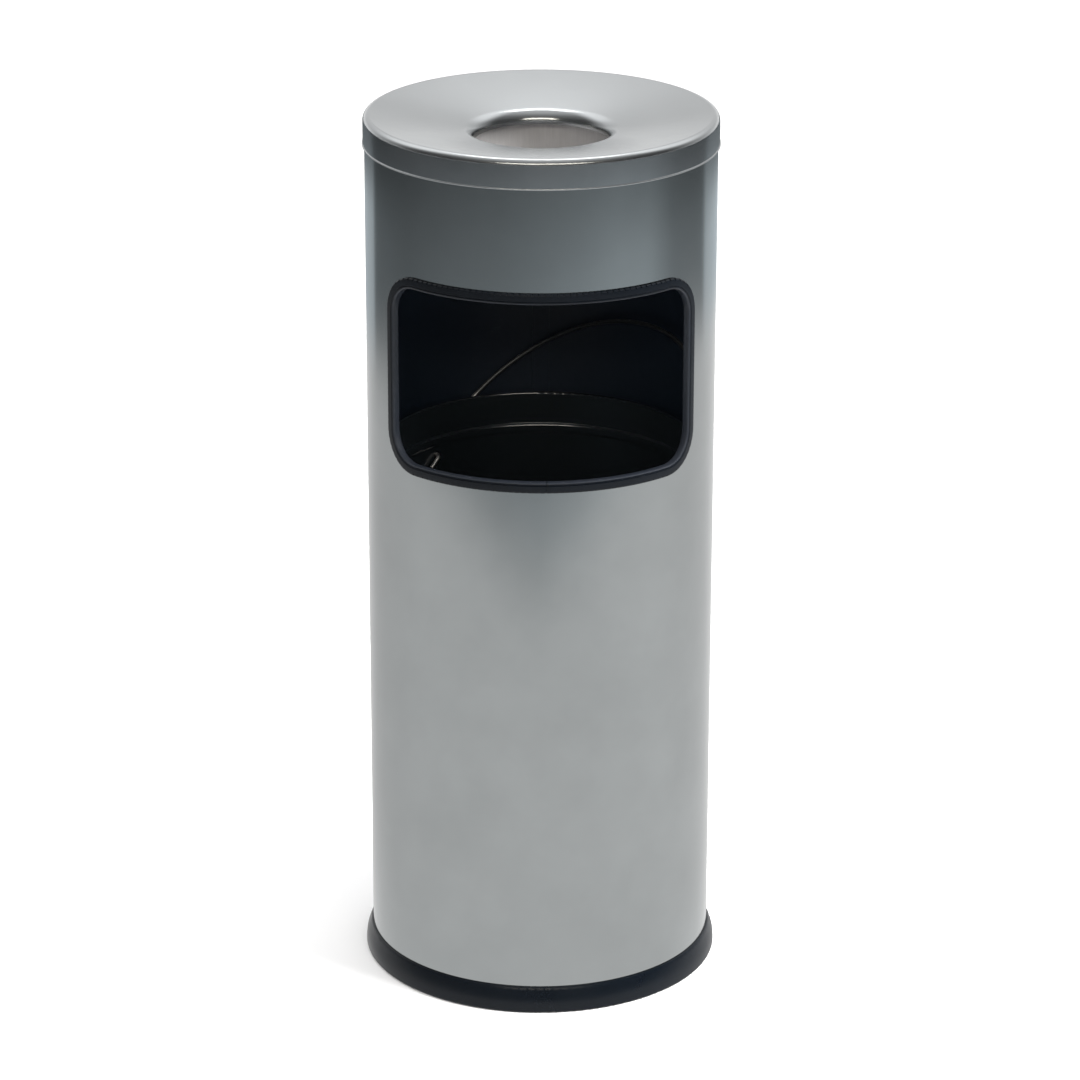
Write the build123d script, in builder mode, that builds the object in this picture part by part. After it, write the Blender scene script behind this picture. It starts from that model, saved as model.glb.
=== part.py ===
from build123d import *
import os
from math import asin, cos, degrees, pi, radians, sin, sqrt, tan

# Round ashtray bin: a sheet steel shell with a side opening, standing in a plastic foot ring.
# A litter bucket with a wire bail stands inside. A funnel lid drops ash into a cup that hangs
# in a support ring on the shell's top edge. Millimetres, +Z up, origin on the floor at the
# middle of the foot, opening towards -Y.

os.makedirs("parts", exist_ok=True)

# Driving sizes
overall_height = 610.0
shell_diameter = 238.4
shell_wall = 0.8
lap_width = 12.0  # of the seam's overlap, inside the back of the shell
seam_groove = 0.6
seam_groove_depth = 0.3

weld_gap = 0.05  # between sheets that are spot-welded together
drop_gap = 0.3  # around pieces that lift out by hand
seat_gap = 0.2  # under the lid's crest

# Foot ring
ring_height = 18.3
ring_spread = 4.9  # how far the foot stands out past the shell
ring_lip = 1.2
ring_floor = 3.0
ring_floor_width = 16.0
upstand_wall = 3.0
upstand_height = 11.0
foot_radius = 2.0

# Base plate and the screws that hold the foot ring to it
base_plate_wall = 0.8
base_flange_height = 10.0
base_corner = 2.0
screw_count = 4
screw_shank = 3.5
screw_standout = 2.0  # past the top of the base plate
screw_head = 7.0
screw_head_height = 2.0
screw_recess = 0.8
boss_diameter = 9.0
screw_clearance = 0.15

# Side opening: the cut in the sheet, with its width measured round the shell's outside
opening_drop = 96.2  # from the lid's crest down to the opening's top edge
opening_height = 126.8
opening_width = 230.6
opening_corner = 22.8
trim_cover = 5.7  # how far the edge trim reaches over the sheet
trim_web = 1.9
trim_leg = 2.4
trim_round = 1.6
grip_gap = 0.2  # also lets the straight channel follow the shell's curve
edge_gap = 0.5  # between the sheet's cut edge and the trim's web
trim_joint_run = 4.0  # where the trim's two ends meet, right of the middle
trim_joint_gap = 0.4
core_wall = 0.5
core_depth = 0.9  # rubber between the sheet and the steel core
core_lip_cover = 1.2
corner_steps = 6

# Funnel lid
lid_wall = 0.7
skirt_height = 20.6
crest_radius = 4.5
funnel_slope = 9.5  # degrees
spout_radius = 45.5
spout_bend = 9.0
spout_length = 8.6  # below the corner where the funnel's slope would meet it
hem_radius = 0.65

# Ash ring and cup
ash_ring_wall = 0.8
ash_ring_bend = 1.2
cup_margin = 13.8  # between the spout and the cup's outside
cup_mouth_gap = 4.4  # between the cup's flange and the funnel above it
cup_clearance = 16.0  # between the cup's bottom and the opening's top edge
cup_wall = 0.7
cup_corner = 6.0
cup_neck_radius = 1.0
cup_flange = 4.0

# Bucket
bucket_gap = 11.4  # between the bucket and the shell's bore, where the bail hangs
bucket_wall_thickness = 0.6
bucket_drop = 10.2  # from the opening's bottom edge down to the rim
bead_drop = 26.8  # from the rim down to the middle of the stiffening bead
bead_width = 7.4
bead_depth = 1.4
bead_bend = 1.0
rim_roll = 1.4
rim_wire_radius = 0.75
bottom_recess = 5.8
bottom_wall = 0.6
bottom_bend = 1.5

# Bail
bail_wire = 1.5
bail_standoff = 4.8  # from the bucket's wall to the middle of the wire
bail_leg = 19.0
bail_height = 143.0
bail_drop = 10.0  # from the stiffening bead down to the pivots
bail_azimuth = -43.5  # of the pivot axis, from +Y towards +X
bail_wall_gap = 13.8  # between the top of the leaning bail and the shell's bore
hook_inset = 2.8  # from the bucket's inner face to the middle of the hooked end
hook_tail = 11.0
hook_bend = 3.0
pivot_clearance = 0.5

# Places that follow from the sizes above
shell_radius = shell_diameter / 2
bore_radius = shell_radius - shell_wall
shell_bottom = ring_floor
skirt_inner = shell_radius + drop_gap
skirt_radius = skirt_inner + lid_wall
shell_top = overall_height - crest_radius - ash_ring_wall + seat_gap
flange_top = shell_top + ash_ring_wall
opening_top = overall_height - opening_drop
opening_bottom = opening_top - opening_height
base_plate_top = upstand_height + base_plate_wall
screw_circle = bore_radius - upstand_wall - boss_diameter / 2 + weld_gap

slope = tan(radians(funnel_slope))
crest_corner = overall_height + crest_radius * (slope + sqrt(1 + slope**2) - 1)
spout_corner = crest_corner - slope * (skirt_radius - spout_radius)

cup_radius = spout_radius + lid_wall + cup_margin
cup_flange_radius = cup_radius + cup_neck_radius + cup_flange
funnel_over_cup = crest_corner - slope * (skirt_radius - cup_flange_radius)
shelf_top = funnel_over_cup - lid_wall - cup_mouth_gap - cup_wall
cup_bottom = opening_top + cup_clearance

bucket_radius = bore_radius - bucket_gap
bucket_bore = bucket_radius - bucket_wall_thickness
bucket_top = opening_bottom - bucket_drop
bead_middle = bucket_top - bead_drop

bail_half_width = bucket_radius + bail_standoff
bail_pivot_height = bead_middle - bail_drop
bail_lean = degrees(asin((bore_radius - bail_wall_gap) / bail_height))


def sheet(points, bends, wall):
    """Sketches a bent sheet: its face follows the points, its wall is to the left of them."""
    with BuildLine() as outline:
        FilletPolyline(*points, radius=bends)
        offset(amount=wall, side=Side.LEFT)
    make_face(outline.edges())


# Shell: a rolled tube with the litter opening cut through its front and a lap at the back
half_run = opening_width / 2
corner_run = half_run - opening_corner
run_to_degrees = 360 / (2 * pi * shell_radius)
cut_inner = bore_radius - trim_leg
cut_outer = shell_radius + trim_leg
corner_cut_inner = bore_radius - opening_corner  # deep enough where the shell curves away
lap_bottom = base_plate_top + base_flange_height


def radial_plane(degrees_round, radius=0.0, height=0.0):
    """A vertical plane facing outwards, at an angle round the shell from the opening's middle."""
    angle = radians(degrees_round)
    outward = Vector(sin(angle), -cos(angle), 0)
    return Plane(outward * radius + Vector(0, 0, height), x_dir=(cos(angle), sin(angle), 0), z_dir=outward)


def section_plane(degrees_round):
    """A vertical plane through the shell's axis, with its x axis pointing outwards."""
    angle = radians(degrees_round)
    return Plane((0, 0, 0), x_dir=(sin(angle), -cos(angle), 0), z_dir=(-cos(angle), -sin(angle), 0))


with BuildPart() as body_shell:
    with BuildSketch(Plane.XY.offset(shell_bottom)):
        Circle(shell_radius)
        Circle(bore_radius, mode=Mode.SUBTRACT)
    extrude(amount=shell_top - shell_bottom)
    cut_blocks = (
        (corner_run, opening_bottom - edge_gap, opening_top + edge_gap),
        (half_run + edge_gap, opening_bottom + opening_corner, opening_top - opening_corner),
    )
    for run, low, high in cut_blocks:
        half_angle = run * run_to_degrees
        with BuildSketch(section_plane(-half_angle)):
            with Locations(((cut_inner + cut_outer) / 2, (low + high) / 2)):
                Rectangle(cut_outer - cut_inner, high - low)
        revolve(axis=Axis.Z, revolution_arc=2 * half_angle, mode=Mode.SUBTRACT)
    for side in (-1, 1):
        for height in (opening_bottom + opening_corner, opening_top - opening_corner):
            corner_angle = side * corner_run * run_to_degrees
            with BuildSketch(radial_plane(corner_angle, corner_cut_inner, height)):
                Circle(opening_corner + edge_gap)
            extrude(amount=cut_outer - corner_cut_inner, mode=Mode.SUBTRACT)
    lap_angle = lap_width * run_to_degrees
    lap_top = shelf_top - ash_ring_wall - drop_gap
    with BuildSketch(section_plane(180 - lap_angle / 2)):
        with Locations((bore_radius, (lap_bottom + lap_top) / 2)):
            Rectangle(2 * shell_wall, lap_top - lap_bottom)
    revolve(axis=Axis.Z, revolution_arc=lap_angle)
    with BuildSketch(radial_plane(180, shell_radius, (shell_top + shell_bottom) / 2)):
        Rectangle(seam_groove, shell_top - shell_bottom)
    extrude(amount=-seam_groove_depth, mode=Mode.SUBTRACT)
body_shell.part.label = "body_shell"
export_step(body_shell.part, "parts/body_shell.step")


# Foot ring: the shell stands in its groove, and its flared skirt reaches the floor
ring_inner = bore_radius - weld_gap - upstand_wall
groove_outer = shell_radius + weld_gap
foot_outer = shell_radius + ring_spread

with BuildPart() as base_ring:
    with BuildSketch(Plane.XZ):
        with BuildLine():
            Polyline(
                (groove_outer, ring_floor),
                (groove_outer, ring_height),
                (groove_outer + ring_lip / 2, ring_height),
            )
            Spline(
                (groove_outer + ring_lip / 2, ring_height),
                (groove_outer + ring_lip, ring_height - ring_lip / 2),
                (foot_outer, foot_radius),
                tangents=((1, 0), (0, -1)),
            )
            RadiusArc((foot_outer, foot_radius), (foot_outer - foot_radius, 0), foot_radius)
            Polyline(
                (foot_outer - foot_radius, 0),
                (bore_radius - ring_floor_width, 0),
                (bore_radius - ring_floor_width, ring_floor),
                (ring_inner, ring_floor),
                (ring_inner, upstand_height),
                (bore_radius - weld_gap, upstand_height),
                (bore_radius - weld_gap, ring_floor),
                (groove_outer, ring_floor),
            )
        make_face()
    revolve(axis=Axis.Z)
    with BuildSketch(Plane.XY.offset(ring_floor)):
        with PolarLocations(screw_circle, screw_count, start_angle=45):
            Circle(boss_diameter / 2)
    extrude(amount=upstand_height - ring_floor)
    with BuildSketch(Plane.XY):
        with PolarLocations(screw_circle, screw_count, start_angle=45):
            Circle(screw_shank / 2 + screw_clearance)
    extrude(amount=upstand_height, mode=Mode.SUBTRACT)
    with BuildSketch(Plane.XY):
        with PolarLocations(screw_circle, screw_count, start_angle=45):
            Circle(screw_head / 2 + screw_clearance)
    extrude(amount=screw_recess + screw_head_height, mode=Mode.SUBTRACT)
base_ring.part.label = "base_ring"
export_step(base_ring.part, "parts/base_ring.step")


# Base plate: a pressed pan welded inside the shell, resting on the foot ring's upstand
plate_radius = bore_radius - weld_gap

with BuildPart() as base_plate:
    with BuildSketch(Plane.XZ):
        sheet(
            [
                (0, upstand_height),
                (plate_radius, upstand_height),
                (plate_radius, upstand_height + base_flange_height),
            ],
            [base_corner],
            base_plate_wall,
        )
    revolve(axis=Axis.Z)
    with BuildSketch(Plane.XY.offset(upstand_height)):
        with PolarLocations(screw_circle, screw_count, start_angle=45):
            Circle(screw_shank / 2 + weld_gap)
    extrude(amount=base_plate_wall, mode=Mode.SUBTRACT)
base_plate.part.label = "base_plate"
export_step(base_plate.part, "parts/base_plate.step")


# Screws, up through the foot ring's bosses into the base plate
with BuildPart() as base_screws:
    with BuildSketch(Plane.XY.offset(screw_recess)):
        with PolarLocations(screw_circle, screw_count, start_angle=45):
            Circle(screw_head / 2)
    extrude(amount=screw_head_height)
    fillet(base_screws.edges().group_by(Axis.Z)[0], radius=screw_head_height / 3)
    with BuildSketch(Plane.XY.offset(screw_recess + screw_head_height)):
        with PolarLocations(screw_circle, screw_count, start_angle=45):
            Circle(screw_shank / 2)
    extrude(amount=base_plate_top + screw_standout - screw_recess - screw_head_height)
    with BuildSketch(Plane.XY.offset(screw_recess)):
        with PolarLocations(screw_circle, screw_count, start_angle=45):
            Rectangle(screw_head / 2, screw_head / 8)
            Rectangle(screw_head / 8, screw_head / 2)
    extrude(amount=screw_head_height / 2, mode=Mode.SUBTRACT)
base_screws.part.label = "base_screws"
export_step(base_screws.part, "parts/base_screws.step")


# Edge trim round the opening, and the steel core inside it that grips the sheet
def strip_plane(run, height, heading):
    """The trim's section plane: x points out of the shell and y away from the opening."""
    angle = run * run_to_degrees
    outward = radial_plane(angle)
    along = outward.x_dir * cos(radians(heading)) + Vector(0, 0, sin(radians(heading)))
    place = outward.z_dir * shell_radius + Vector(0, 0, height)
    return Plane(place, x_dir=outward.z_dir, z_dir=along)


def edge_strip(section):
    """Builds a strip of this section round the opening, cut where its two ends meet."""
    bars = (
        (trim_joint_run + trim_joint_gap / 2, corner_run, opening_bottom, 0),
        (-corner_run, trim_joint_run - trim_joint_gap / 2, opening_bottom, 0),
        (-corner_run, corner_run, opening_top, 180),
    )
    low_corner = opening_bottom + opening_corner
    high_corner = opening_top - opening_corner
    corners = (
        (corner_run, low_corner, 0),
        (corner_run, high_corner, 90),
        (-corner_run, high_corner, 180),
        (-corner_run, low_corner, 270),
    )
    with BuildPart() as strip:
        for start, end, height, heading in bars:
            with BuildSketch(strip_plane(start, height, heading)):
                section()
            revolve(axis=Axis.Z, revolution_arc=(end - start) * run_to_degrees)
        for run, height, heading in ((half_run, low_corner, 90), (-half_run, high_corner, 270)):
            with BuildSketch(strip_plane(run, height, heading)):
                section()
            extrude(amount=high_corner - low_corner)
        for run, height, first_heading in corners:
            for step in range(corner_steps + 1):
                heading = first_heading + 90 * step / corner_steps
                turned_run = run + opening_corner * sin(radians(heading))
                turned_height = height - opening_corner * cos(radians(heading))
                with BuildSketch(strip_plane(turned_run, turned_height, heading)):
                    section()
            loft()
    return strip


def trim_section():
    """A U over the sheet's edge: a web on the opening's side and a leg on each face."""
    sheet_middle = -shell_wall / 2
    with Locations((sheet_middle, (trim_cover - trim_web) / 2)):
        Rectangle(shell_wall + 2 * trim_leg, trim_cover + trim_web)
    fillet(vertices(), radius=trim_round)
    with Locations((sheet_middle, trim_cover / 2)):
        Rectangle(shell_wall + 2 * grip_gap, trim_cover, mode=Mode.SUBTRACT)


def core_section():
    """A thin U of steel inside the trim's own section."""
    sheet_middle = -shell_wall / 2
    core_width = shell_wall + 2 * (core_depth + core_wall)
    core_low = -core_depth / 2 - core_wall
    core_high = trim_cover - core_lip_cover
    with Locations((sheet_middle, (core_low + core_high) / 2)):
        Rectangle(core_width, core_high - core_low)
    with Locations((sheet_middle, (core_low + core_wall + core_high) / 2)):
        Rectangle(core_width - 2 * core_wall, core_high - core_low - core_wall, mode=Mode.SUBTRACT)


trim_core = edge_strip(core_section)
trim_core.part.label = "trim_core"
export_step(trim_core.part, "parts/trim_core.step")

with BuildPart() as opening_trim:
    add(edge_strip(trim_section).part)
    add(trim_core.part, mode=Mode.SUBTRACT)
opening_trim.part.label = "opening_trim"
export_step(opening_trim.part, "parts/opening_trim.step")


# Funnel lid: a skirt over the shell, a crest, a shallow funnel and a turned-down spout
skirt_bottom = overall_height - skirt_height

with BuildPart() as funnel_lid:
    with BuildSketch(Plane.XZ):
        sheet(
            [
                (skirt_radius, skirt_bottom),
                (skirt_radius, crest_corner),
                (spout_radius, spout_corner),
                (spout_radius, spout_corner - spout_length),
            ],
            [crest_radius, spout_bend],
            lid_wall,
        )
        with Locations((skirt_inner + hem_radius, skirt_bottom + hem_radius)):
            Circle(hem_radius)
    revolve(axis=Axis.Z)
funnel_lid.part.label = "funnel_lid"
export_step(funnel_lid.part, "parts/funnel_lid.step")


# Ash ring: its flange rests on the shell's top edge, its shelf carries the cup
cup_hole = cup_radius + cup_neck_radius + drop_gap
ash_ring_wall_radius = bore_radius - drop_gap - ash_ring_wall

with BuildPart() as ash_ring:
    with BuildSketch(Plane.XZ):
        sheet(
            [
                (shell_radius, flange_top),
                (ash_ring_wall_radius, flange_top),
                (ash_ring_wall_radius, shelf_top),
                (cup_hole, shelf_top),
            ],
            [ash_ring_wall + weld_gap, ash_ring_bend],
            ash_ring_wall,
        )
    revolve(axis=Axis.Z)
ash_ring.part.label = "ash_ring"
export_step(ash_ring.part, "parts/ash_ring.step")


# Ash cup: drops into the ring and hangs by its flange, with the spout inside its mouth
with BuildPart() as ash_cup:
    with BuildSketch(Plane.XZ):
        sheet(
            [
                (0, cup_bottom),
                (cup_radius, cup_bottom),
                (cup_radius, shelf_top),
                (cup_flange_radius, shelf_top),
            ],
            [cup_corner, cup_neck_radius],
            cup_wall,
        )
    revolve(axis=Axis.Z)
ash_cup.part.label = "ash_cup"
export_step(ash_cup.part, "parts/ash_cup.step")


# Bucket wall: a stiffening bead below the rim, a rim rolled round a wire, two pivot holes
rim_middle = bucket_bore + rim_roll
rim_height = bucket_top - rim_roll
bead_radius = bucket_radius - bead_depth
pivot_axis = Vector(sin(radians(bail_azimuth)), cos(radians(bail_azimuth)), 0)

with BuildPart() as bucket_wall:
    with BuildSketch(Plane.XZ):
        sheet(
            [
                (bucket_radius, base_plate_top),
                (bucket_radius, bead_middle - bead_width / 2),
                (bead_radius, bead_middle - bead_width / 2 + bead_depth),
                (bead_radius, bead_middle + bead_width / 2 - bead_depth),
                (bucket_radius, bead_middle + bead_width / 2),
                (bucket_radius, rim_height),
            ],
            [bead_bend] * 4,
            bucket_wall_thickness,
        )
        with Locations((rim_middle, rim_height)):
            Circle(rim_roll)
            Circle(rim_wire_radius, mode=Mode.SUBTRACT)
    revolve(axis=Axis.Z)
    with BuildSketch(Plane((0, 0, bail_pivot_height), z_dir=pivot_axis)):
        Circle(bail_wire + pivot_clearance)
    extrude(amount=bucket_radius, both=True, mode=Mode.SUBTRACT)
bucket_wall.part.label = "bucket_wall"
export_step(bucket_wall.part, "parts/bucket_wall.step")

with BuildPart() as bucket_rim_wire:
    with BuildSketch(Plane.XZ):
        with Locations((rim_middle, rim_height)):
            Circle(rim_wire_radius)
    revolve(axis=Axis.Z)
bucket_rim_wire.part.label = "bucket_rim_wire"
export_step(bucket_rim_wire.part, "parts/bucket_rim_wire.step")


# Bucket bottom: a disc with its edge turned down inside the wall's foot
bottom_radius = bucket_bore - weld_gap

with BuildPart() as bucket_bottom:
    with BuildSketch(Plane.XZ):
        sheet(
            [
                (bottom_radius, base_plate_top),
                (bottom_radius, base_plate_top + bottom_recess),
                (0, base_plate_top + bottom_recess),
            ],
            [bottom_bend],
            bottom_wall,
        )
    revolve(axis=Axis.Z)
bucket_bottom.part.label = "bucket_bottom"
export_step(bucket_bottom.part, "parts/bucket_bottom.step")


# Bail: one wire, hooked through the wall at both ends, leaning against the back of the shell
lean_direction = pivot_axis.cross(Vector(0, 0, 1))
upward = Vector(0, 0, 1) * cos(radians(bail_lean)) + lean_direction * sin(radians(bail_lean))
bail_plane = Plane((0, 0, bail_pivot_height), x_dir=pivot_axis, z_dir=pivot_axis.cross(upward))
hook_inner = bucket_bore - hook_inset

with BuildPart() as bail_handle:
    with BuildLine(bail_plane) as bail_line:
        for side in (-1, 1):
            FilletPolyline(
                (side * hook_inner, -hook_tail),
                (side * hook_inner, 0),
                (side * bail_half_width, 0),
                (side * bail_half_width, bail_leg),
                radius=hook_bend,
            )
        EllipticalCenterArc((0, bail_leg), bail_half_width, bail_height - bail_leg, 0, arc_size=180)
    wire_start = bail_plane.from_local_coords(Vector(hook_inner, -hook_tail, 0))
    with BuildSketch(Plane(wire_start, z_dir=upward)):
        Circle(bail_wire)
    sweep(path=bail_line.wires()[0])
bail_handle.part.label = "bail_handle"
export_step(bail_handle.part, "parts/bail_handle.step")
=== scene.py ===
import math
import bmesh
import bpy
from mathutils import Matrix, Vector


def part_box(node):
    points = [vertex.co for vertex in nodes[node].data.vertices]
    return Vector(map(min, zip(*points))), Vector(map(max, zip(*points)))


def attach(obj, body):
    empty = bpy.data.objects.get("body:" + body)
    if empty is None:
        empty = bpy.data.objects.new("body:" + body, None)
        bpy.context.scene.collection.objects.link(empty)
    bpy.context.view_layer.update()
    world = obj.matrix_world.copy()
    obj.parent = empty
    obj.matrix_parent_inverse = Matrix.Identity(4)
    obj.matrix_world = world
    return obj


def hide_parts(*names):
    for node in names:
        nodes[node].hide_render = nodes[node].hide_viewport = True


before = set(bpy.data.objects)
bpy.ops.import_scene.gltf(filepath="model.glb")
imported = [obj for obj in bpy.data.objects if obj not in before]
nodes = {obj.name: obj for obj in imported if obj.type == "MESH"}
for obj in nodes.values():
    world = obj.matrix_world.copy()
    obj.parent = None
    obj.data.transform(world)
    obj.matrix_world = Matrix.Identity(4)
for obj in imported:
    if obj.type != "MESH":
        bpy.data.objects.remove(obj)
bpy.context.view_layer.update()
scene = bpy.context.scene
print("frame loaded:", len(nodes), "nodes")

millimetre = 0.001  # every length is in metres
sharpTurn = math.radians(35)  # edges that turn more than this are shaded sharp
floatSocket = "NodeSocketFloat"
vectorSocket = "NodeSocketVector"


def addNode(tree, kind, **values):
    node = tree.nodes.new(kind)
    for key, value in values.items():
        if key in node.inputs:
            node.inputs[key].default_value = value
        else:
            setattr(node, key, value)
    return node


def link(tree, source, target):
    tree.links.new(source, target)


def mathNode(tree, operation, first, second=None, clamp=False):
    node = addNode(tree, "ShaderNodeMath", operation=operation, use_clamp=clamp)
    for socket, value in zip(node.inputs, (first, second)):
        if value is None:
            continue
        if isinstance(value, (int, float)):
            socket.default_value = value
        else:
            link(tree, value, socket)
    return node.outputs[0]


def rampNode(tree, value, stops):
    node = addNode(tree, "ShaderNodeValToRGB")
    elements = node.color_ramp.elements
    while len(elements) < len(stops):
        elements.new(0.5)
    for element, (position, shade) in zip(elements, stops):
        element.position = position
        colour = shade if isinstance(shade, tuple) else (shade, shade, shade)
        element.color = (*colour, 1)
    link(tree, value, node.inputs[0])
    return node.outputs[0]


def fadeNode(tree, value, begin=0.0, end=1.0, before=0.0, after=1.0):
    # eases from one number to the other while the value goes from begin to end
    node = addNode(tree, "ShaderNodeMapRange", interpolation_type="SMOOTHSTEP")
    link(tree, value, node.inputs["Value"])
    for socket, number in zip(("From Min", "From Max", "To Min", "To Max"), (begin, end, before, after)):
        node.inputs[socket].default_value = number
    return node.outputs["Result"]


def mixColour(tree, factor, first, second, blend="MIX"):
    node = addNode(tree, "ShaderNodeMix", data_type="RGBA", blend_type=blend)
    colourA, colourB = node.inputs[6], node.inputs[7]
    for socket, value in ((node.inputs[0], factor), (colourA, first), (colourB, second)):
        if isinstance(value, tuple):
            socket.default_value = (*value, 1)
        elif isinstance(value, (int, float)):
            socket.default_value = value
        else:
            link(tree, value, socket)
    return node.outputs[2]


def tinted(tree, colour, tint):
    return mixColour(tree, 1.0, colour, tint, "MULTIPLY")


def objectPlace(tree):
    return addNode(tree, "ShaderNodeTexCoord").outputs["Object"]


def axesOf(tree, vector):
    node = addNode(tree, "ShaderNodeSeparateXYZ")
    link(tree, vector, node.inputs[0])
    return node.outputs


def seededNoise(tree, vector, seed, **values):
    node = addNode(tree, "ShaderNodeTexNoise", noise_dimensions="4D", **values)
    link(tree, vector, node.inputs["Vector"])
    link(tree, seed, node.inputs["W"])
    return node


def newGroup(name, inputs, outputs):
    tree = bpy.data.node_groups.new(name, "ShaderNodeTree")
    for label, kind, value in inputs:
        socket = tree.interface.new_socket(label, in_out="INPUT", socket_type=kind)
        socket.default_value = value
    for label in outputs:
        tree.interface.new_socket(label, in_out="OUTPUT", socket_type=floatSocket)
    return tree, tree.nodes.new("NodeGroupInput"), tree.nodes.new("NodeGroupOutput")


def useGroup(tree, group, **values):
    node = tree.nodes.new("ShaderNodeGroup")
    node.node_tree = group
    for key, value in values.items():
        node.inputs[key].default_value = value
    return node


grainLook = {
    "mottleShare": 0.012,  # the mottle's scale over the grain's
}


def buildGrainGroup():
    inputs = (("Size", floatSocket, 900.0), ("Stretch", vectorSocket, (1, 1, 1)), ("Seed", floatSocket, 0.0))
    tree, start, end = newGroup("finishGrain", inputs, ("Grain", "Mottle"))
    stretched = addNode(tree, "ShaderNodeVectorMath", operation="MULTIPLY")
    link(tree, objectPlace(tree), stretched.inputs[0])
    link(tree, start.outputs["Stretch"], stretched.inputs[1])
    seed = start.outputs["Seed"]
    fine = seededNoise(tree, stretched.outputs[0], seed, Detail=3.0, Roughness=0.6)
    link(tree, start.outputs["Size"], fine.inputs["Scale"])
    coarse = seededNoise(tree, stretched.outputs[0], seed, Detail=4.0, Roughness=0.55)
    coarseSize = mathNode(tree, "MULTIPLY", start.outputs["Size"], grainLook["mottleShare"])
    link(tree, coarseSize, coarse.inputs["Scale"])
    link(tree, fine.outputs["Fac"], end.inputs["Grain"])
    link(tree, coarse.outputs["Fac"], end.inputs["Mottle"])
    return tree


wearLook = {
    "warpScale": 14.0,
    "warpReach": 8 * millimetre,  # how far the scratches wander off straight
    "scratchTurn": (0.4, 0.9, 0.3),
    "scratchStretch": (1.0, 1.0, 14.0),
    "scratchWidth": 0.012,
    "patchScale": 22.0,
    "patches": ((0.56, 0.0), (0.66, 1.0)),  # where there are scratches at all
    "smudges": ((0.38, 0.0), (0.72, 1.0)),
}


def buildWearGroup():
    inputs = (("Scratch Size", floatSocket, 60.0), ("Smudge Size", floatSocket, 9.0), ("Seed", floatSocket, 0.0))
    tree, start, end = newGroup("handlingWear", inputs, ("Scratches", "Smudges"))
    place, seed = objectPlace(tree), start.outputs["Seed"]
    warp = seededNoise(tree, place, seed, Scale=wearLook["warpScale"], Detail=2.0)
    bent = addNode(tree, "ShaderNodeVectorMath", operation="MULTIPLY_ADD")
    link(tree, warp.outputs["Color"], bent.inputs[0])
    bent.inputs[1].default_value = (wearLook["warpReach"],) * 3
    link(tree, place, bent.inputs[2])
    turned = addNode(tree, "ShaderNodeMapping", Rotation=wearLook["scratchTurn"],
                     Scale=wearLook["scratchStretch"])
    link(tree, bent.outputs[0], turned.inputs["Vector"])
    lines = addNode(tree, "ShaderNodeTexVoronoi", feature="DISTANCE_TO_EDGE", voronoi_dimensions="3D")
    link(tree, turned.outputs[0], lines.inputs["Vector"])
    link(tree, start.outputs["Scratch Size"], lines.inputs["Scale"])
    thin = mathNode(tree, "LESS_THAN", lines.outputs["Distance"], wearLook["scratchWidth"])
    patches = seededNoise(tree, place, seed, Scale=wearLook["patchScale"], Detail=3.0)
    few = rampNode(tree, patches.outputs["Fac"], wearLook["patches"])
    link(tree, mathNode(tree, "MULTIPLY", thin, few), end.inputs["Scratches"])
    smudge = seededNoise(tree, place, seed, Detail=5.0, Roughness=0.62, Distortion=0.6)
    link(tree, start.outputs["Smudge Size"], smudge.inputs["Scale"])
    link(tree, rampNode(tree, smudge.outputs["Fac"], wearLook["smudges"]), end.inputs["Smudges"])
    return tree


dustLook = {
    "upward": ((0.1, 0.0), (0.95, 1.0)),  # how flat a face must lie to hold dust
    "driftScale": 18.0,
    "settled": ((0.22, 0.0), (0.42, 1.0)),
}


def buildDustGroup():
    inputs = (("Speck Size", floatSocket, 700.0), ("Seed", floatSocket, 0.0))
    tree, start, end = newGroup("settledDust", inputs, ("Dust",))
    place, seed = objectPlace(tree), start.outputs["Seed"]
    facing = axesOf(tree, addNode(tree, "ShaderNodeNewGeometry").outputs["Normal"])
    upward = rampNode(tree, facing["Z"], dustLook["upward"])
    specks = seededNoise(tree, place, seed, Detail=4.0, Roughness=0.7)
    link(tree, start.outputs["Speck Size"], specks.inputs["Scale"])
    drift = seededNoise(tree, place, seed, Scale=dustLook["driftScale"], Detail=3.0)
    both = mathNode(tree, "MULTIPLY", specks.outputs["Fac"], drift.outputs["Fac"])
    settled = rampNode(tree, both, dustLook["settled"])
    link(tree, mathNode(tree, "MULTIPLY", settled, upward), end.inputs["Dust"])
    return tree


grainGroup = buildGrainGroup()
wearGroup = buildWearGroup()
dustGroup = buildDustGroup()
print("shared effects built")


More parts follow.
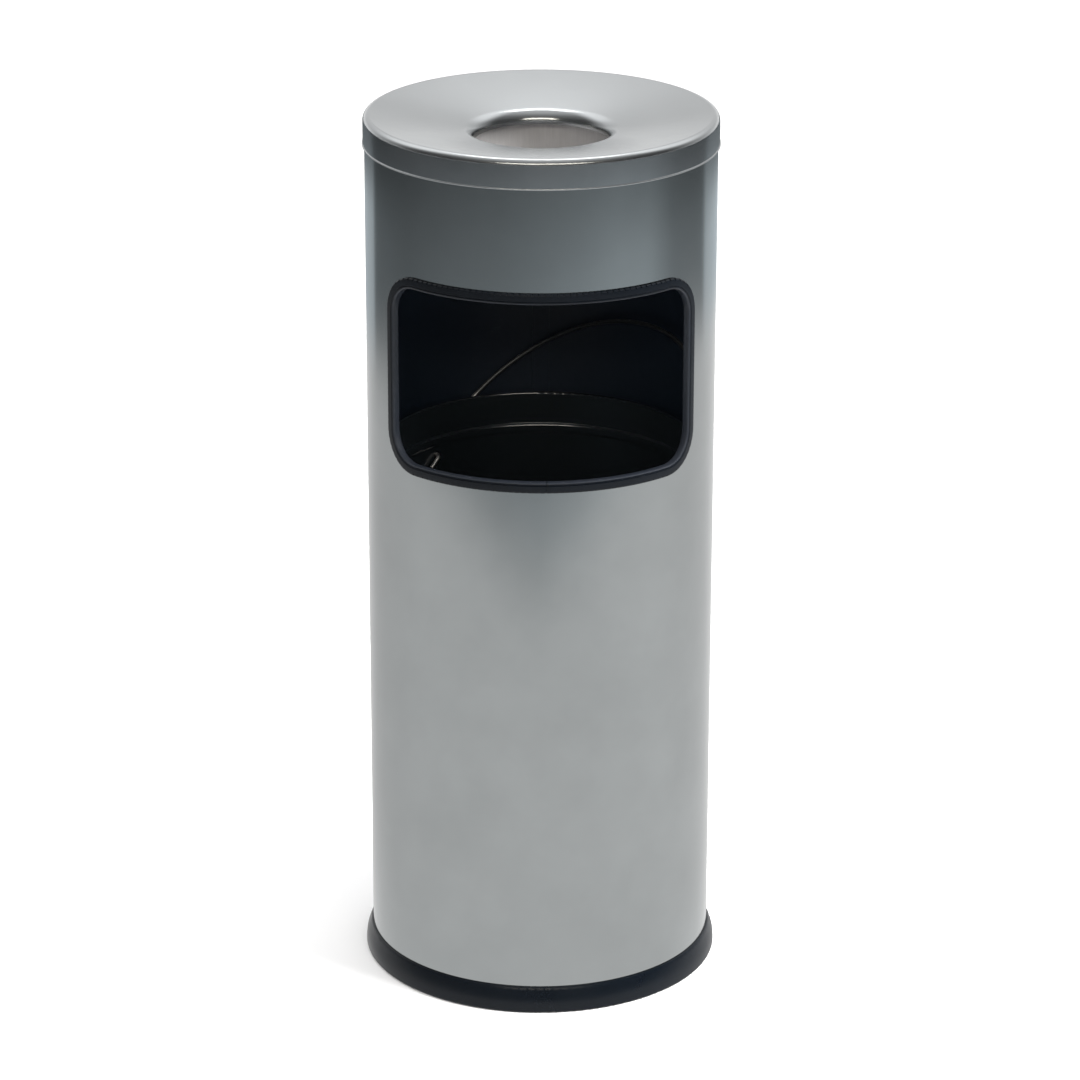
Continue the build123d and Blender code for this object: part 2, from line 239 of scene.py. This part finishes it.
# what a finish has where it says nothing else
plainFinish = dict(metallic=0.0, stretch=(1, 1, 1), relief=0.05, mottle=0.10, smudge=0.10, scratch=0.0,
                   dust=0.02, coat=0.0, specular=0.5, ior=1.5)
finishes = {
    "shellLacquer": dict(colour=(0.365, 0.383, 0.384), metallic=1.0, roughness=0.15, grain=1500.0,
                         relief=0.02, mottle=0.05, smudge=0.05, dust=0.03, coat=0.25, seed=1.3),
    "lidSteel": dict(colour=(0.447, 0.464, 0.472), metallic=1.0, roughness=0.21, grain=900.0,
                     relief=0.02, mottle=0.04, smudge=0.06, dust=0.006, seed=4.1),
    "cupSteel": dict(colour=(0.60, 0.59, 0.59), metallic=0.6, roughness=0.55, grain=700.0,
                     stretch=(1, 1, 0.08), scratch=0.1, dust=0.10, seed=7.7),
    "ringSteel": dict(colour=(0.50, 0.50, 0.50), metallic=1.0, roughness=0.30, grain=800.0,
                      relief=0.04, mottle=0.08, scratch=0.1, dust=0.10, seed=8.8),
    "blackEnamel": dict(colour=(0.012, 0.016, 0.019), roughness=0.18, grain=420.0, relief=0.03,
                        mottle=0.05, smudge=0.08, coat=1.0, specular=1.0, ior=1.8, seed=2.2),
    "innerBlack": dict(colour=(0.012, 0.018, 0.028), roughness=0.33, grain=800.0, smudge=0.08,
                       scratch=0.05, seed=3.3),
    "trimRubber": dict(colour=(0.002, 0.0035, 0.006), roughness=0.34, grain=1400.0, relief=0.06,
                       dust=0.015, specular=0.23, seed=5.5),
    # painted highlight: a lighter, shinier copy of the rubber for the inner bulb, standing in for the light line
    # along the opening's edge
    "trimBulbPaintedHighlight": dict(colour=(0.014, 0.017, 0.023), roughness=0.36, grain=1400.0, relief=0.06,
                     mottle=0.12, specular=0.3, seed=5.9),
    "footPlastic": dict(colour=(0.002, 0.004, 0.007), roughness=0.28, grain=1000.0, mottle=0.08,
                        specular=0.25, seed=6.1),
    # painted highlight: the wire's eyes below the bucket's rim get a lighter, shinier metal so they shine
    # brighter
    "bareWire": dict(colour=(0.21, 0.215, 0.22), metallic=1.0, roughness=0.46, grain=900.0,
                     mottle=0.12, scratch=0.1, dust=0.04, seed=9.2,
                     eyesHighlightColour=(0.75, 0.75, 0.74), eyesHighlightRoughness=0.3),
    "zincScrew": dict(colour=(0.55, 0.55, 0.52), metallic=1.0, roughness=0.34, grain=1300.0,
                      relief=0.08, mottle=0.20, scratch=0.1, dust=0.08, seed=9.9),
}
sharedLook = {
    "coatRoughness": 0.08,
    "scratchColour": (0.45, 0.45, 0.45),
    "dustColour": (0.42, 0.40, 0.37),
    "dustRoughness": 1.5,
    "smudgeLevel": 0.3,  # the share of the smudges that the roughness already counts
    "noiseSpan": (0.3, 0.7),  # the values of the noise that run from dark to light
    "bumpDepth": 0.2 * millimetre,
    "eyesFade": (-4 * millimetre, 2 * millimetre),  # over the bucket's rim
}


def aboveRim(tree):
    # 0 on the wire's eyes below the bucket's rim, 1 on the bow above it
    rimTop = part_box("bucket_wall")[1].z
    begin, end = sharedLook["eyesFade"]
    return fadeNode(tree, axesOf(tree, objectPlace(tree))["Z"], rimTop + begin, rimTop + end)


def makeFinish(name):
    recipe = {**plainFinish, **finishes[name]}
    material = bpy.data.materials.new(name)
    material.use_nodes = True
    tree = material.node_tree
    shader = tree.nodes["Principled BSDF"]
    for socket, value in (("Metallic", recipe["metallic"]), ("Coat Weight", recipe["coat"]),
                          ("Coat Roughness", sharedLook["coatRoughness"]),
                          ("Specular IOR Level", recipe["specular"]), ("IOR", recipe["ior"])):
        shader.inputs[socket].default_value = value
    seed = recipe["seed"]
    grain = useGroup(tree, grainGroup, Size=recipe["grain"], Stretch=recipe["stretch"], Seed=seed)
    wear = useGroup(tree, wearGroup, Seed=seed)
    dust = useGroup(tree, dustGroup, Seed=seed)
    dark = tuple(channel * (1 - recipe["mottle"]) for channel in recipe["colour"])
    light = tuple(min(1.0, channel * (1 + recipe["mottle"])) for channel in recipe["colour"])
    low, high = sharedLook["noiseSpan"]
    mottled = rampNode(tree, grain.outputs["Mottle"], ((low, dark), (high, light)))
    speck = rampNode(tree, grain.outputs["Grain"], ((low, 1 - recipe["relief"] * 2), (high, 1.0)))
    grained = tinted(tree, mottled, speck)
    scratchLevel = mathNode(tree, "MULTIPLY", wear.outputs["Scratches"], recipe["scratch"])
    scratched = mixColour(tree, scratchLevel, grained, sharedLook["scratchColour"])
    dustLevel = mathNode(tree, "MULTIPLY", dust.outputs["Dust"], recipe["dust"])
    colour = mixColour(tree, dustLevel, scratched, sharedLook["dustColour"])
    smudged = mathNode(tree, "MULTIPLY", wear.outputs["Smudges"], recipe["smudge"])
    grainRough = mathNode(tree, "MULTIPLY", grain.outputs["Grain"], recipe["relief"])
    dustRough = mathNode(tree, "MULTIPLY", dustLevel, sharedLook["dustRoughness"])
    plain = recipe["roughness"] - recipe["smudge"] * sharedLook["smudgeLevel"]
    rough = mathNode(tree, "ADD", mathNode(tree, "ADD", smudged, grainRough), dustRough)
    rough = mathNode(tree, "ADD", rough, plain, clamp=True)
    # painted highlight: lighter, shinier metal on the eyes below the rim
    if "eyesHighlightColour" in recipe:
        eyes = mathNode(tree, "SUBTRACT", 1.0, aboveRim(tree))
        colour = mixColour(tree, eyes, colour, recipe["eyesHighlightColour"])
        rough = mixColour(tree, eyes, rough, (recipe["eyesHighlightRoughness"],) * 3)
    bump = addNode(tree, "ShaderNodeBump", Strength=recipe["relief"], Distance=sharedLook["bumpDepth"])
    link(tree, grain.outputs["Grain"], bump.inputs["Height"])
    link(tree, colour, shader.inputs["Base Color"])
    link(tree, rough, shader.inputs["Roughness"])
    link(tree, bump.outputs["Normal"], shader.inputs["Normal"])
    return material


materials = {name: makeFinish(name) for name in finishes}
print("finishes built:", len(materials))

# the CAD nodes that show as they are
nodeFinishes = {
    "base_ring": "footPlastic",
    "base_plate": "innerBlack",
    "base_screws": "zincScrew",
    "trim_core": "trimRubber",
    "ash_ring": "ringSteel",
    "ash_cup": "cupSteel",
    "bucket_wall": "blackEnamel",
    "bucket_rim_wire": "ringSteel",
    "bucket_bottom": "blackEnamel",
    "bail_handle": "bareWire",
}
for nodeName, materialName in nodeFinishes.items():
    for slot in nodes[nodeName].material_slots:
        slot.material = materials[materialName]
print("nodes dressed:", len(nodeFinishes))


def wireLoop(bm, points, closed=True):
    verts = [bm.verts.new(point) for point in points]
    for pair in zip(verts, verts[1:]):
        bm.edges.new(pair)
    if closed:
        bm.edges.new((verts[-1], verts[0]))
    return verts


def roundVertex(bm, vert, radius, segments):
    first, second = [edge.other_vert(vert).co - vert.co for edge in vert.link_edges]
    turn = math.pi - first.angle(second)
    bmesh.ops.bevel(bm, geom=[vert], offset=radius * math.tan(turn / 2), offset_type="OFFSET",
                    segments=segments, profile=0.5, affect="VERTICES", material=-1)


def newObject(bm, name, pieceMaterials):
    mesh = bpy.data.meshes.new(name)
    bm.to_mesh(mesh)
    bm.free()
    for material in pieceMaterials:
        mesh.materials.append(material)
    piece = bpy.data.objects.new(name, mesh)
    scene.collection.objects.link(piece)
    return piece


def finishPiece(bm, name, materialNames, body, replaced):
    for edge in bm.edges:
        edge.smooth = len(edge.link_faces) != 2 or edge.calc_face_angle() < sharpTurn
    for face in bm.faces:
        face.smooth = True
    piece = newObject(bm, name, [materials[materialName] for materialName in materialNames])
    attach(piece, body)
    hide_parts(replaced)
    print("piece", name, len(piece.data.polygons), "faces")


def rollUp(bm, radius):
    # x runs round the sheet, y is depth out of it, z is height; the middle of the front faces -Y
    for vert in bm.verts:
        angle = vert.co.x / radius
        reach = radius + vert.co.y
        vert.co = Vector((reach * math.sin(angle), -reach * math.cos(angle), vert.co.z))


def latheProfile(bm, geometry, steps, mergeWithin):
    bmesh.ops.spin(bm, geom=geometry, cent=(0, 0, 0), axis=(0, 0, 1), dvec=(0, 0, 0), angle=math.tau,
                   steps=steps, use_merge=True, use_duplicate=False)
    bmesh.ops.remove_doubles(bm, verts=bm.verts, dist=mergeWithin)
    bmesh.ops.recalc_face_normals(bm, faces=bm.faces)


def outwardFrom(face):
    # how far a face looks away from the bin's axis, in metres
    return face.normal.dot(face.calc_center_median().xy.to_3d())


shellLow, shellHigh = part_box("body_shell")
trimLow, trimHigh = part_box("opening_trim")
shell = {
    "radius": shellHigh.x,
    "wall": 0.8 * millimetre,
    "seamGap": 0.3 * millimetre,
    "lapWidth": 12 * millimetre,
    "lapMargin": 11 * millimetre,
    "lapColumns": 12,
    "openingWidth": 230.6 * millimetre,
    "openingCorner": 22.8 * millimetre,
    "trimCover": 5.7 * millimetre,
    "cornerSegments": 16,
    "columns": 360,
    "cutWithin": 0.001 * millimetre,
    "outsideFacing": 0.5,  # a face is on the outside where its normal leans out more than this
}
shell["openingLow"] = trimLow.z + shell["trimCover"]
shell["openingHigh"] = trimHigh.z - shell["trimCover"]


def openingOutline(bm):
    half = shell["openingWidth"] / 2
    low, high = shell["openingLow"], shell["openingHigh"]
    for vert in wireLoop(bm, ((-half, 0, low), (half, 0, low), (half, 0, high), (-half, 0, high))):
        roundVertex(bm, vert, shell["openingCorner"], shell["cornerSegments"])


def buildLapStrip():
    # the strip that closes the seam from the inside
    radius, wall = shell["radius"], shell["wall"]
    height = shellHigh.z - shellLow.z - 2 * shell["lapMargin"]
    place = Matrix.Translation((math.pi * radius, -wall, (shellLow.z + shellHigh.z) / 2))
    place = place @ Matrix.Rotation(math.pi / 2, 4, "X") @ Matrix.Diagonal((shell["lapWidth"], height, 1, 1))
    lap = bmesh.new()
    bmesh.ops.create_grid(lap, x_segments=shell["lapColumns"], y_segments=1, size=0.5, matrix=place)
    rollUp(lap, radius)
    for face in lap.faces:
        face.normal_update()
    if lap.faces[:][0].normal.y < 0:
        bmesh.ops.reverse_faces(lap, faces=lap.faces[:])
    bmesh.ops.solidify(lap, geom=lap.faces[:], thickness=wall)
    lapMesh = bpy.data.meshes.new("lapStrip")
    lap.to_mesh(lapMesh)
    lap.free()
    return lapMesh


def buildShell():
    bm = bmesh.new()
    radius, wall = shell["radius"], shell["wall"]
    halfRun = math.pi * radius - shell["seamGap"] / 2
    openingOutline(bm)
    wireLoop(bm, ((-halfRun, 0, shellLow.z), (halfRun, 0, shellLow.z),
                  (halfRun, 0, shellHigh.z), (-halfRun, 0, shellHigh.z)))
    bmesh.ops.triangle_fill(bm, use_beauty=True, use_dissolve=False, edges=bm.edges[:], normal=(0, -1, 0))
    for column in range(1, shell["columns"]):
        run = halfRun * (2 * column / shell["columns"] - 1)
        bmesh.ops.bisect_plane(bm, geom=bm.verts[:] + bm.edges[:] + bm.faces[:], dist=shell["cutWithin"],
                               plane_co=(run, 0, 0), plane_no=(1, 0, 0))
    rollUp(bm, radius)
    bmesh.ops.recalc_face_normals(bm, faces=bm.faces)
    if outwardFrom(bm.faces[:][0]) < 0:
        bmesh.ops.reverse_faces(bm, faces=bm.faces)
    bmesh.ops.solidify(bm, geom=bm.faces[:], thickness=wall)
    lapMesh = buildLapStrip()
    bm.from_mesh(lapMesh)
    bpy.data.meshes.remove(lapMesh)
    bm.normal_update()
    for face in bm.faces:
        middle = face.calc_center_median()
        leansOut = face.normal.dot(middle.xy.to_3d().normalized()) > shell["outsideFacing"]
        onOutside = leansOut and middle.xy.length > radius - wall / 2
        face.material_index = 0 if onOutside else 1
    finishPiece(bm, "rolledShell", ("shellLacquer", "innerBlack"), "shell", "body_shell")


buildShell()


trim = {
    "web": 1.9 * millimetre,
    "leg": 2.4 * millimetre,
    "grip": 0.2 * millimetre,
    "round": 1.5 * millimetre,
    "lipRound": 0.5 * millimetre,
    "roundSegments": 4,
    "grooveAt": -0.2 * millimetre,  # from the sheet's edge, positive into the opening
    "grooveWidth": 0.7 * millimetre,
    "grooveDepth": 0.45 * millimetre,
    "jointRun": 4 * millimetre,  # right of the middle
    "jointSunk": 0.6 * millimetre,
    "jointGap": 0.4 * millimetre,
    "pitch": 4.1 * millimetre,
    "pitchShares": (0.38, 0.38, 0.24),  # two steps of rib and one of notch
    "notchFrom": 3.6 * millimetre,  # outside the sheet's edge
    "notchFacing": -0.1,  # notches aren't cut where the face looks inwards more than this
    "notchClear": 0.1 * millimetre,  # off the slot that grips the sheet
    "notchMargin": 0.08 * millimetre,
    "notchDepth": 0.5 * millimetre,
    "bulbFrom": 0.7 * millimetre,  # past the sheet's edge, into the opening
}


def pastSheetEdge(point):
    # how far a point of the flat sheet lies outside the opening's rounded outline
    corner = shell["openingCorner"]
    acrossX = abs(point.x) - (shell["openingWidth"] / 2 - corner)
    middle = (shell["openingLow"] + shell["openingHigh"]) / 2
    acrossZ = abs(point.z - middle) - ((shell["openingHigh"] - shell["openingLow"]) / 2 - corner)
    beyond = Vector((max(acrossX, 0), max(acrossZ, 0)))
    return beyond.length + min(max(acrossX, acrossZ), 0) - corner


def stepRound(bm, edges, count, shift=None, centre=None, turn=0.0):
    # carries the open end of the strip along, rib by rib, and returns its new end and the notches' faces
    notchFaces = []
    for index in range(count):
        for share in trim["pitchShares"]:
            moved = bmesh.ops.extrude_edge_only(bm, edges=edges)["geom"]
            verts = [item for item in moved if isinstance(item, bmesh.types.BMVert)]
            if shift is not None:
                bmesh.ops.translate(bm, verts=verts, vec=shift * share / count)
            else:
                turned = Matrix.Rotation(turn * share / count, 3, "Y")
                bmesh.ops.rotate(bm, verts=verts, cent=centre, matrix=turned)
            fresh = set(verts)
            edges = [item for item in moved if isinstance(item, bmesh.types.BMEdge)
                     and all(vert in fresh for vert in item.verts)]
            if share == min(trim["pitchShares"]):
                notchFaces += [item for item in moved if isinstance(item, bmesh.types.BMFace)]
    return edges, notchFaces


def buildEdgeTrim():
    bm = bmesh.new()
    half = shell["openingWidth"] / 2
    corner = shell["openingCorner"]
    low, high = shell["openingLow"], shell["openingHigh"]
    outer, inner = trim["leg"], -shell["wall"] - trim["leg"]
    slotOuter, slotInner = trim["grip"], -shell["wall"] - trim["grip"]
    cover, web = shell["trimCover"], trim["web"]
    groove, halfGroove = trim["grooveAt"], trim["grooveWidth"] / 2
    start = trim["jointRun"] + trim["jointGap"] / 2
    # the section at the joint: depth out of the sheet, height over the sheet's edge, and corner radius
    section = (
        (outer, web, trim["round"]),
        (inner, web, trim["round"]),
        (inner, -cover, trim["round"]),
        (slotInner, -cover, trim["lipRound"]),
        (slotInner, 0, 0),
        (slotOuter, 0, 0),
        (slotOuter, -cover, trim["lipRound"]),
        (outer, -cover, trim["round"]),
        (outer, groove - halfGroove, 0),
        (outer - trim["grooveDepth"], groove, 0),
        (outer, groove + halfGroove, 0),
    )
    verts = wireLoop(bm, [(start, depth, low + rise) for depth, rise, radius in section])
    for vert, (depth, rise, radius) in zip(verts, section):
        if radius:
            roundVertex(bm, vert, radius, trim["roundSegments"])
    ring = bm.edges[:]
    quarter = math.pi / 2
    cornerSteps = round(corner * quarter / trim["pitch"])
    legs = (
        (Vector((half - corner - start, 0, 0)), Vector((half - corner, 0, low + corner))),
        (Vector((0, 0, high - low - 2 * corner)), Vector((half - corner, 0, high - corner))),
        (Vector((-2 * (half - corner), 0, 0)), Vector((-half + corner, 0, high - corner))),
        (Vector((0, 0, low - high + 2 * corner)), Vector((-half + corner, 0, low + corner))),
    )
    notches = []
    for shift, centre in legs:
        ring, cut = stepRound(bm, ring, round(shift.length / trim["pitch"]), shift=shift)
        notches += cut
        ring, cut = stepRound(bm, ring, cornerSteps, centre=centre, turn=-quarter)
        notches += cut
    last = Vector((half - corner + trim["jointRun"] - trim["jointGap"] / 2, 0, 0))
    ring, cut = stepRound(bm, ring, round(last.length / trim["pitch"]), shift=last)
    notches += cut
    bmesh.ops.holes_fill(bm, edges=[edge for edge in bm.edges if edge.is_boundary], sides=0)
    bmesh.ops.recalc_face_normals(bm, faces=bm.faces)
    bm.normal_update()
    middles = {face: face.calc_center_median() for face in notches}
    notches = [face for face, middle in middles.items()
               if face.normal.y > trim["notchFacing"] and middle.y > slotOuter + trim["notchClear"]
               and pastSheetEdge(middle) > trim["notchFrom"]]
    bmesh.ops.inset_region(bm, faces=notches, thickness=trim["notchMargin"], depth=-trim["notchDepth"],
                           use_even_offset=True)
    # painted highlight: the inner bulb's faces take the lighter copy of the rubber
    for face in bm.faces:
        face.material_index = 1 if pastSheetEdge(face.calc_center_median()) < -trim["bulbFrom"] else 0
    # the glue that closes the joint, a little under the surface
    glueDepth = outer - trim["jointSunk"] - slotOuter
    glueCentre = (trim["jointRun"], slotOuter + glueDepth / 2, low - cover / 2)
    glueSize = (trim["jointGap"], glueDepth, cover - 2 * trim["jointSunk"], 1)
    bmesh.ops.create_cube(bm, size=1, matrix=Matrix.Translation(glueCentre) @ Matrix.Diagonal(glueSize))
    rollUp(bm, shell["radius"])
    bm.normal_update()  # rolling turns the section over, and the next line needs its new normals
    bmesh.ops.recalc_face_normals(bm, faces=bm.faces)
    finishPiece(bm, "edgeTrim", ("trimRubber", "trimBulbPaintedHighlight"), "shell", "opening_trim")


buildEdgeTrim()


lidLow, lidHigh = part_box("funnel_lid")
lid = {
    "wall": 0.7 * millimetre,
    "hem": 0.65 * millimetre,
    "hemProud": 0.6 * millimetre,
    "crestRound": 4.5 * millimetre,
    "slope": math.radians(9.5),
    "spoutRadius": 45.5 * millimetre,
    "spoutRound": 9.0 * millimetre,
    "spoutLength": 8.6 * millimetre,
    "roundSegments": 14,
    "hemSegments": 14,
    "steps": 288,
    "mergeWithin": 0.01 * millimetre,
    "hemMergeWithin": 0.005 * millimetre,
}


def buildFunnelLid():
    bm = bmesh.new()
    radius = lidHigh.x - lid["hemProud"]
    slope = math.tan(lid["slope"])
    crest = lidHigh.z + lid["crestRound"] * (slope + math.sqrt(1 + slope ** 2) - 1)
    spoutTop = crest - slope * (radius - lid["spoutRadius"])
    points = ((radius, 0, lidLow.z + lid["hem"]), (radius, 0, crest), (lid["spoutRadius"], 0, spoutTop),
              (lid["spoutRadius"], 0, spoutTop - lid["spoutLength"]))
    verts = wireLoop(bm, points, closed=False)
    roundVertex(bm, verts[1], lid["crestRound"], lid["roundSegments"])
    roundVertex(bm, verts[2], lid["spoutRound"], lid["roundSegments"])
    latheProfile(bm, bm.verts[:] + bm.edges[:], lid["steps"], lid["mergeWithin"])
    skirtFace = max(bm.faces, key=lambda face: face.calc_center_median().xy.length)
    if outwardFrom(skirtFace) < 0:
        bmesh.ops.reverse_faces(bm, faces=bm.faces)
    bmesh.ops.solidify(bm, geom=bm.faces[:], thickness=lid["wall"])
    hemCentre = (radius - lid["wall"] + lid["hem"], 0, lidLow.z + lid["hem"])
    upright = Matrix.Rotation(math.pi / 2, 4, "X")
    hemRing = bmesh.ops.create_circle(bm, segments=lid["hemSegments"], radius=lid["hem"],
                                      matrix=Matrix.Translation(hemCentre) @ upright)["verts"]
    hemEdges = list({edge for vert in hemRing for edge in vert.link_edges})
    latheProfile(bm, hemRing + hemEdges, lid["steps"], lid["hemMergeWithin"])
    finishPiece(bm, "funnelLid", ("lidSteel",), "lid", "funnel_lid")


buildFunnelLid()


def stageMaterial(name):
    material = bpy.data.materials.new(name)
    material.use_nodes = True
    tree = material.node_tree
    tree.nodes.clear()
    return material, tree, tree.nodes.new("ShaderNodeOutputMaterial")


def stageSheet(name, reach, height, material):
    bm = bmesh.new()
    bmesh.ops.create_grid(bm, x_segments=1, y_segments=1, size=reach)
    bmesh.ops.translate(bm, verts=bm.verts, vec=(0, 0, height))
    return newObject(bm, name, (material,))


paleFloor = {
    "reach": 15.0,
    "colour": (0.93, 0.93, 0.935),
}


def buildFloor():
    material, tree, output = stageMaterial("palePaper")
    surface = addNode(tree, "ShaderNodeBsdfDiffuse", Color=(*paleFloor["colour"], 1))
    link(tree, surface.outputs[0], output.inputs["Surface"])
    floor = stageSheet("paleFloor", paleFloor["reach"], 0, material)


# A glowing card seen only in reflections: a painted reflection of bright paper round the bin, then painted dark
# of a studio beyond.
# Turns are shares of a whole turn: 0 is behind, 0.25 the left, 0.5 the front and 0.75 the right.
paintedReflectionCard = {
    "reach": 9.0,
    "height": 1 * millimetre,
    "paintedPaper": ((0.0, 0.72), (0.08, 0.72), (0.13, 0.70), (0.20, 0.80), (0.28, 0.88), (0.5, 0.93), (0.72, 1.0),
              (0.87, 0.86), (1.0, 0.84)),
    "paintedStudioDark": ((0.0, 0.50), (0.115, 0.62), (0.123, 0.20), (0.17, 0.20), (0.24, 0.20), (0.33, 0.27),
               (0.43, 0.34), (0.5, 0.43), (0.57, 0.52), (0.64, 0.64), (0.70, 0.62), (0.76, 0.34),
               (0.83, 0.28), (0.857, 0.27), (0.866, 0.74), (1.0, 0.60)),
    # where the painted paper reflection ends, in metres, as shares of edgeReach in the ramp
    "edge": ((0.0, 1.33), (0.19, 1.30), (0.275, 1.17), (0.365, 1.04), (0.43, 0.92), (0.5, 0.85),
             (0.57, 0.95), (0.635, 1.12), (0.725, 1.27), (0.81, 1.42), (1.0, 1.42)),
    "edgeReach": 4.0,
    "softness": 0.30,
    "farDark": (1.95, 2.20, 0.30),  # from, to, and what is left of the brightness
    "tint": (0.90, 1.0, 1.06),
}


# paints the floor's reflections: a glowing card that the camera, diffuse light and shadows don't see
def buildPaintedReflectionCard():
    material, tree, output = stageMaterial("paintedFloorReflection")
    place = objectPlace(tree)
    parts = axesOf(tree, place)
    turn = mathNode(tree, "ARCTAN2", parts["X"], mathNode(tree, "MULTIPLY", parts["Y"], -1.0))
    whole = mathNode(tree, "ADD", mathNode(tree, "DIVIDE", turn, math.tau), 0.5)
    length = addNode(tree, "ShaderNodeVectorMath", operation="LENGTH")
    link(tree, place, length.inputs[0])
    distance, edgeReach = length.outputs["Value"], paintedReflectionCard["edgeReach"]
    edge = rampNode(tree, whole, [(share, value / edgeReach) for share, value in paintedReflectionCard["edge"]])
    past = mathNode(tree, "SUBTRACT", distance, mathNode(tree, "MULTIPLY", edge, edgeReach))
    onPaintedStudioDark = fadeNode(tree, past, end=paintedReflectionCard["softness"])
    farFrom, farTo, farLeft = paintedReflectionCard["farDark"]
    far = fadeNode(tree, distance, farFrom, farTo, before=1.0, after=farLeft)
    paintedPaper = rampNode(tree, whole, paintedReflectionCard["paintedPaper"])
    paintedStudioDark = rampNode(tree, whole, paintedReflectionCard["paintedStudioDark"])
    paintedStudioDark = tinted(tree, tinted(tree, paintedStudioDark, paintedReflectionCard["tint"]), far)
    glow = addNode(tree, "ShaderNodeEmission")
    link(tree, mixColour(tree, onPaintedStudioDark, paintedPaper, paintedStudioDark), glow.inputs["Color"])
    link(tree, glow.outputs[0], output.inputs["Surface"])
    card = stageSheet("paintedReflectionCard", paintedReflectionCard["reach"], paintedReflectionCard["height"], material)
    # seen only by glossy rays, so it adds painted reflections and lights nothing
    for ray in ("camera", "diffuse", "shadow", "transmission", "volume_scatter"):
        setattr(card, "visible_" + ray, False)


buildFloor()
buildPaintedReflectionCard()

# what surrounds the bin; front and back are brightness by height, from the horizon up
studioLight = {
    "seen": (0.985, 0.985, 0.985),  # by the camera
    "fill": 1.15,  # on surfaces that don't mirror
    "front": ((0.0, 0.05), (0.45, 0.09), (0.75, 0.27), (0.97, 0.75)),
    "back": ((0.0, 0.70), (0.12, 0.60), (0.25, 0.44), (0.4, 0.515), (0.5, 0.66), (0.6, 0.86), (0.72, 0.93),
             (0.82, 1.0), (0.95, 0.65)),
    "backLift": 1.65,
    "behind": (-0.1, 0.45),  # where the front ends and the back is full
    "sides": (0.60, 0.95, 0.50),  # how far to the side the dark begins, is full, and what it leaves
}


def buildWorld():
    world = bpy.data.worlds.new("whiteStudio")
    world.use_nodes = True
    tree = world.node_tree
    direction = axesOf(tree, addNode(tree, "ShaderNodeTexCoord").outputs["Generated"])
    back = rampNode(tree, direction["Z"], studioLight["back"])
    back = tinted(tree, back, (studioLight["backLift"],) * 3)
    sideFrom, sideTo, sideLeft = studioLight["sides"]
    aside = mathNode(tree, "ABSOLUTE", direction["X"])
    back = tinted(tree, back, fadeNode(tree, aside, sideFrom, sideTo, before=1.0, after=sideLeft))
    behind = fadeNode(tree, direction["Y"], *studioLight["behind"])
    front = rampNode(tree, direction["Z"], studioLight["front"])
    mirrored = mixColour(tree, behind, front, back)
    path = addNode(tree, "ShaderNodeLightPath")
    other = mixColour(tree, path.outputs["Is Glossy Ray"], (studioLight["fill"],) * 3, mirrored)
    seen = mixColour(tree, path.outputs["Is Camera Ray"], other, studioLight["seen"])
    link(tree, seen, tree.nodes["Background"].inputs["Color"])
    scene.world = world


buildWorld()

# mirrored says whether the glossy finishes show the lamp or are only lit by it
lamps = {
    "overheadSoftbox": dict(place=(0.0, 0.85, 2.7), target=(0, 0, 0.6), size=(1.3, 0.8), power=9.5,
                            tint=(1, 1, 1), mirrored=True),
    "rightSoftbox": dict(place=(1.45, -0.5, 1.6), target=(0, 0, 0.6), size=(1.2, 1.0), power=85.0,
                         tint=(1, 0.99, 0.98), mirrored=False),
    "frontWindow": dict(place=(0.1, -2.7, 1.80), target=(0, 0, 0.4), size=(2.8, 0.22), power=17.0,
                        tint=(1, 0.94, 0.83), mirrored=True),
}
for lampName, lamp in lamps.items():
    light = bpy.data.lights.new(lampName, "AREA")
    light.shape = "RECTANGLE"
    light.size, light.size_y = lamp["size"]
    light.energy = lamp["power"]
    light.color = lamp["tint"]
    holder = bpy.data.objects.new(lampName, light)
    holder.location = lamp["place"]
    holder.visible_glossy = lamp["mirrored"]
    aim = Vector(lamp["target"]) - Vector(lamp["place"])
    holder.rotation_euler = aim.to_track_quat("-Z", "Y").to_euler()
    scene.collection.objects.link(holder)

view = {
    "place": (-0.0021, -2.8919, 1.37535),
    "tilt": math.radians(69.67),
    "roll": -0.0016,
    "lens": 147.9,
    "sensor": 36.0,
}
camera = bpy.data.cameras.new("frontCamera")
camera.lens = view["lens"]
camera.sensor_width = view["sensor"]
cameraHolder = bpy.data.objects.new("frontCamera", camera)
cameraHolder.location = view["place"]
cameraHolder.rotation_euler = (view["tilt"], view["roll"], 0)
scene.collection.objects.link(cameraHolder)
scene.camera = cameraHolder
scene.view_settings.view_transform = "Standard"
print("stage ready")
